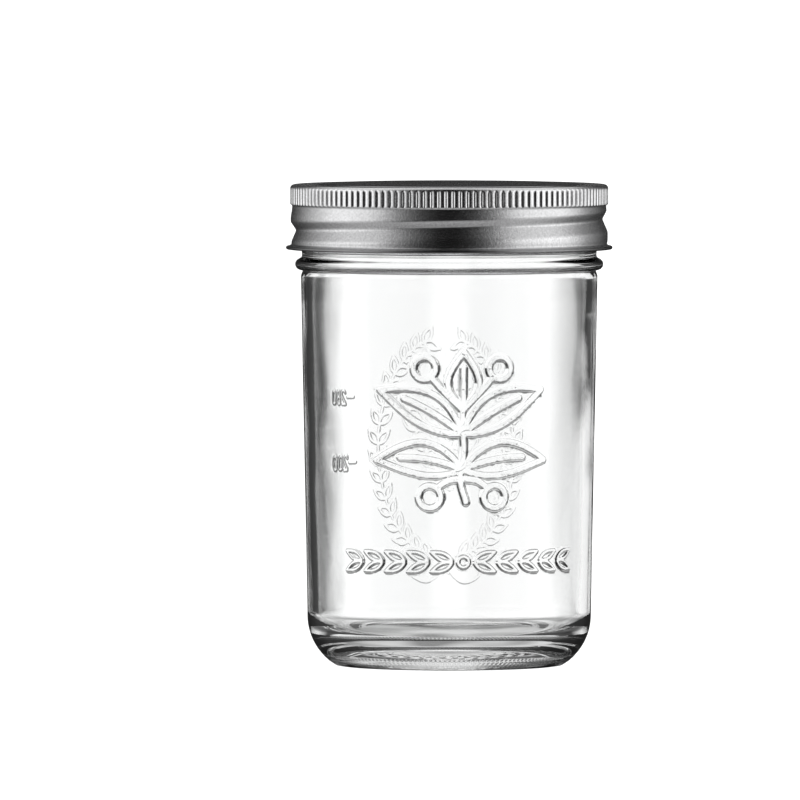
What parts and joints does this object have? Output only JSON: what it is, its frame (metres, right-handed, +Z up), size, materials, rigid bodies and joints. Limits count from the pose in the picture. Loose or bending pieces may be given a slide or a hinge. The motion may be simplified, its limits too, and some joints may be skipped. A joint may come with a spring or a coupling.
{
  "type": "mason jar",
  "caption": "Wide-mouth glass canning jar with a raised bead, threaded neck, flat sealing lid and ribbed screw band.",
  "frame": {"origin": "centre of the jar's footprint, on the surface it stands on", "axes": "+Z up along the jar's axis, -Y the front with the emblem, +X to the right seen from the front"},
  "size_m": [0.091, 0.091, 0.1343],
  "materials": {
    "clear_glass": "clear, polished",
    "lid_tinplate": "smooth satin",
    "sealing_compound": "matte",
    "satin_tinplate": "satin"
  },
  "bodies": {
    "jar": {"glass_jar": "clear_glass"},
    "lid": {"lid_disc": "lid_tinplate", "sealing_gasket": "sealing_compound"},
    "band": {"screw_band": "satin_tinplate"}
  },
  "joints": [
    {"name": "lid_lift", "type": "slide", "parent": "jar", "child": "lid", "axis": [0, 0, 1], "range_m": [0, 0.0195]},
    {"name": "band_turn", "type": "hinge", "parent": "lid", "child": "band", "pos_m": [0, 0, 0.125], "axis": [0, 0, 1], "range_deg": [0, 1080]}
  ],
  "couplings": [
    {"joint": "lid_lift", "follows": "band_turn", "m_per_rad": 0.0010106}
  ]
}
